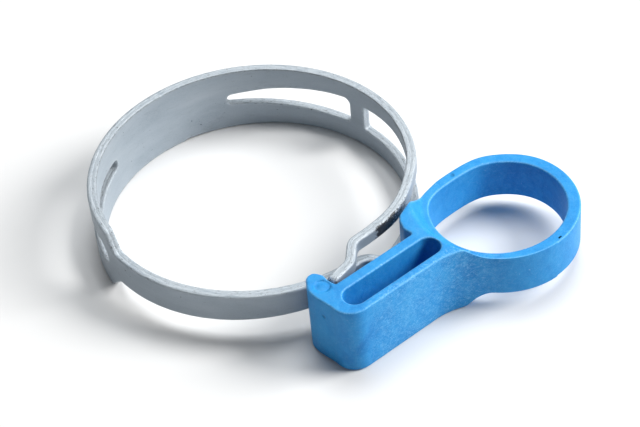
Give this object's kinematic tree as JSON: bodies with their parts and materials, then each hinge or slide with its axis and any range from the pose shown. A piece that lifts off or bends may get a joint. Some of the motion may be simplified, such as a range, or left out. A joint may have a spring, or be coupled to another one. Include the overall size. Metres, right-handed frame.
{
  "type": "spring band hose clamp",
  "caption": "Constant-tension spring band clamp for a hose, held open by a blue plastic clip with a finger ring that pulls off so the band closes.",
  "frame": {"origin": "on the axis of the hose bore, in the plane that the clamp rests on", "axes": "+Z along the hose bore; the two ears and the clip lie at 55.5 degrees from +X towards -Y"},
  "size_m": [0.0786, 0.0632, 0.0124],
  "materials": {
    "coated_spring_steel": "matt pale grey zinc-flake coat on spring steel, scuffed along the sheared edges",
    "blue_plastic": "satin moulded blue plastic, finely scuffed, with rounded moulded edges"
  },
  "bodies": {
    "band_back": {"band_back": "coated_spring_steel"},
    "band_left": {"band_left": "coated_spring_steel"},
    "band_right": {"band_right": "coated_spring_steel"},
    "tongue_end": {"tongue_end": "coated_spring_steel"},
    "window_end": {"window_end": "coated_spring_steel"},
    "clip": {"retaining_clip": "blue_plastic"}
  },
  "joints": [
    {"name": "clip_pull", "type": "slide", "parent": "band_back", "child": "clip", "axis": [0.5948, -0.8039, 0], "range_m": [0, 0.05]},
    {"name": "left_flex", "type": "hinge", "parent": "band_back", "child": "band_left", "pos_m": [-0.02571, 0.00477, 0.006], "axis": [0, 0, 1], "range_deg": [0, 9]},
    {"name": "tongue_flex", "type": "hinge", "parent": "band_left", "child": "tongue_end", "pos_m": [-0.00477, -0.02571, 0.006], "axis": [0, 0, 1], "range_deg": [0, 9]},
    {"name": "right_flex", "type": "hinge", "parent": "band_back", "child": "band_right", "pos_m": [0.00477, 0.02571, 0.006], "axis": [0, 0, -1], "range_deg": [0, 9]},
    {"name": "window_flex", "type": "hinge", "parent": "band_right", "child": "window_end", "pos_m": [0.02571, -0.00477, 0.006], "axis": [0, 0, -1], "range_deg": [0, 9]}
  ],
  "couplings": [
    {"joint": "left_flex", "follows": "clip_pull", "rad_per_m": 3.14},
    {"joint": "tongue_flex", "follows": "clip_pull", "rad_per_m": 3.14},
    {"joint": "right_flex", "follows": "clip_pull", "rad_per_m": 3.14},
    {"joint": "window_flex", "follows": "clip_pull", "rad_per_m": 3.14}
  ]
}
